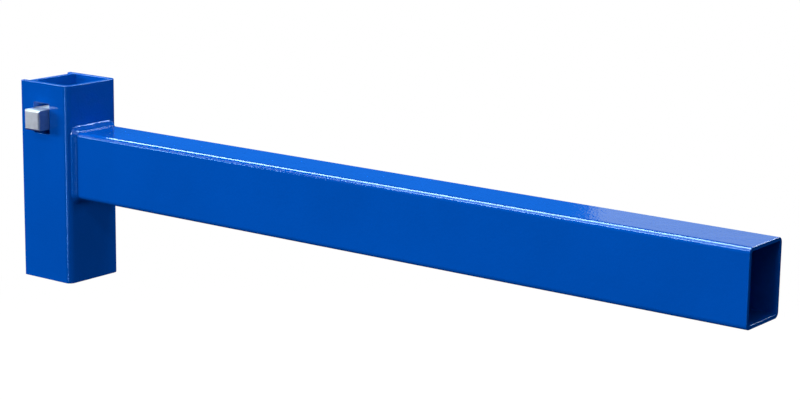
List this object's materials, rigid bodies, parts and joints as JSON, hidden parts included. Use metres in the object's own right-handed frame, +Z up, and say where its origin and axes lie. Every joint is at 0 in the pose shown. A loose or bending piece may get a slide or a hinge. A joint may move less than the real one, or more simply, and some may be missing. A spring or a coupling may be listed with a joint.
{
  "type": "cantilever rack arm",
  "caption": "Rectangular tube arm welded square to a sleeve that drops over a rack upright, held by a square locking pin through a slot in the sleeve.",
  "frame": {"origin": "middle line of the upright's passage through the sleeve, at the height of the arm's middle line", "axes": "+X along the arm towards its open end, +Z up along the upright, -Y towards the slotted flange that the locking pin enters"},
  "size_m": [1.2, 0.142, 0.295],
  "materials": {
    "powder_coat": "glossy signal blue powder coat",
    "zinc_plate": "bright zinc plate"
  },
  "bodies": {
    "root": {"sleeve_channel": "powder_coat", "back_plate": "powder_coat", "arm_tube": "powder_coat", "root_weld": "powder_coat", "back_seam_near": "powder_coat", "back_seam_far": "powder_coat", "locking_pin": "zinc_plate"}
  },
  "joints": []
}
